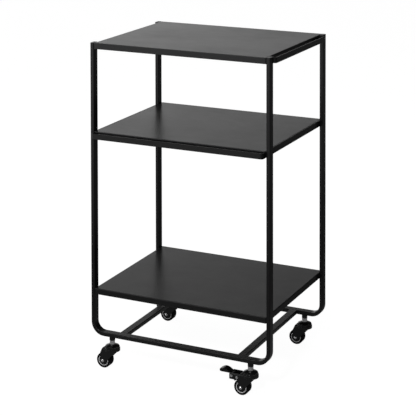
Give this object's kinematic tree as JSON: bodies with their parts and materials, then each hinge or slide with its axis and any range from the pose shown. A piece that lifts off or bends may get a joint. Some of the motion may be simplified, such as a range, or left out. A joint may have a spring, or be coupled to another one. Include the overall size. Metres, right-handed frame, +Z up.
{
  "type": "utility cart",
  "caption": "Rolling utility cart with bent tube frames, sheet shelves, a pull-out tray with a finger grip, a side push grip and braked swivel castors.",
  "frame": {"origin": "middle of the whole cart's plan at the floor, with the tray closed and the castors at rest", "axes": "+Z up, -Y to the front where the tray pulls out, +X to the side with the push grip"},
  "size_m": [0.525, 0.3972, 0.824],
  "materials": {
    "frame_paint": "satin powder coat, charcoal",
    "shelf_paint": "satin powder coat, charcoal grey",
    "black_steel": "black, half gloss",
    "bright_steel": "bright plated",
    "tyre": "matte black tread",
    "grey_plastic": "light grey, moulded",
    "black_plastic": "black, moulded"
  },
  "bodies": {
    "cart": {"front_frame": "frame_paint", "rear_frame": "frame_paint", "left_cross_tube": "frame_paint", "right_cross_tube": "frame_paint", "post_lids": "frame_paint", "stem_sockets": "black_steel", "top_shelf": "shelf_paint", "top_grip": "frame_paint", "bottom_shelf": "shelf_paint", "left_runner": "frame_paint", "right_runner": "frame_paint", "runner_stops": "frame_paint", "fl_stem": "bright_steel", "fl_nut": "bright_steel", "fl_dome": "black_steel", "fr_stem": "bright_steel", "fr_nut": "bright_steel", "fr_dome": "black_steel", "bl_stem": "bright_steel", "bl_nut": "bright_steel", "bl_dome": "black_steel", "br_stem": "bright_steel", "br_nut": "bright_steel", "br_dome": "black_steel"},
    "pull_tray": {"tray": "shelf_paint", "tray_grip": "frame_paint", "tray_clips": "frame_paint"},
    "fl_castor": {"fl_fork": "black_steel", "fl_axle": "bright_steel", "fl_axle_nut": "bright_steel"},
    "fl_wheel": {"fl_tyre": "tyre", "fl_core": "grey_plastic", "fl_covers": "black_plastic"},
    "fr_castor": {"fr_fork": "black_steel", "fr_axle": "bright_steel", "fr_axle_nut": "bright_steel", "fr_pin": "bright_steel", "fr_bolt": "bright_steel"},
    "fr_wheel": {"fr_tyre": "tyre", "fr_core": "grey_plastic", "fr_covers": "black_plastic"},
    "fr_brake": {"fr_pedal": "black_steel"},
    "bl_castor": {"bl_fork": "black_steel", "bl_axle": "bright_steel", "bl_axle_nut": "bright_steel", "bl_pin": "bright_steel", "bl_bolt": "bright_steel"},
    "bl_wheel": {"bl_tyre": "tyre", "bl_core": "grey_plastic", "bl_covers": "black_plastic"},
    "bl_brake": {"bl_pedal": "black_steel"},
    "br_castor": {"br_fork": "black_steel", "br_axle": "bright_steel", "br_axle_nut": "bright_steel"},
    "br_wheel": {"br_tyre": "tyre", "br_core": "grey_plastic", "br_covers": "black_plastic"}
  },
  "joints": [
    {"name": "tray_slide", "type": "slide", "parent": "cart", "child": "pull_tray", "axis": [0, -1, 0], "range_m": [0, 0.22]},
    {"name": "fl_swivel", "type": "hinge", "parent": "cart", "child": "fl_castor", "pos_m": [-0.18103, -0.1711, 0.0515], "axis": [0, 0, 1], "continuous": true},
    {"name": "fl_spin", "type": "hinge", "parent": "fl_castor", "child": "fl_wheel", "pos_m": [-0.20153, -0.1711, 0.0193], "axis": [0, 1, 0], "continuous": true},
    {"name": "fr_swivel", "type": "hinge", "parent": "cart", "child": "fr_castor", "pos_m": [0.20097, -0.1711, 0.0515], "axis": [0, 0, 1], "continuous": true},
    {"name": "fr_spin", "type": "hinge", "parent": "fr_castor", "child": "fr_wheel", "pos_m": [0.18047, -0.1711, 0.0193], "axis": [0, 1, 0], "continuous": true},
    {"name": "fr_brake_press", "type": "hinge", "parent": "fr_castor", "child": "fr_brake", "pos_m": [0.15595, -0.1711, 0.04469], "axis": [0, -1, 0], "range_deg": [0, 16]},
    {"name": "bl_swivel", "type": "hinge", "parent": "cart", "child": "bl_castor", "pos_m": [-0.18103, 0.1789, 0.0515], "axis": [0, 0, 1], "continuous": true},
    {"name": "bl_spin", "type": "hinge", "parent": "bl_castor", "child": "bl_wheel", "pos_m": [-0.20153, 0.1789, 0.0193], "axis": [0, 1, 0], "continuous": true},
    {"name": "bl_brake_press", "type": "hinge", "parent": "bl_castor", "child": "bl_brake", "pos_m": [-0.22605, 0.1789, 0.04469], "axis": [0, -1, 0], "range_deg": [0, 16]},
    {"name": "br_swivel", "type": "hinge", "parent": "cart", "child": "br_castor", "pos_m": [0.20097, 0.1789, 0.0515], "axis": [0, 0, 1], "continuous": true},
    {"name": "br_spin", "type": "hinge", "parent": "br_castor", "child": "br_wheel", "pos_m": [0.18047, 0.1789, 0.0193], "axis": [0, 1, 0], "continuous": true}
  ]
}
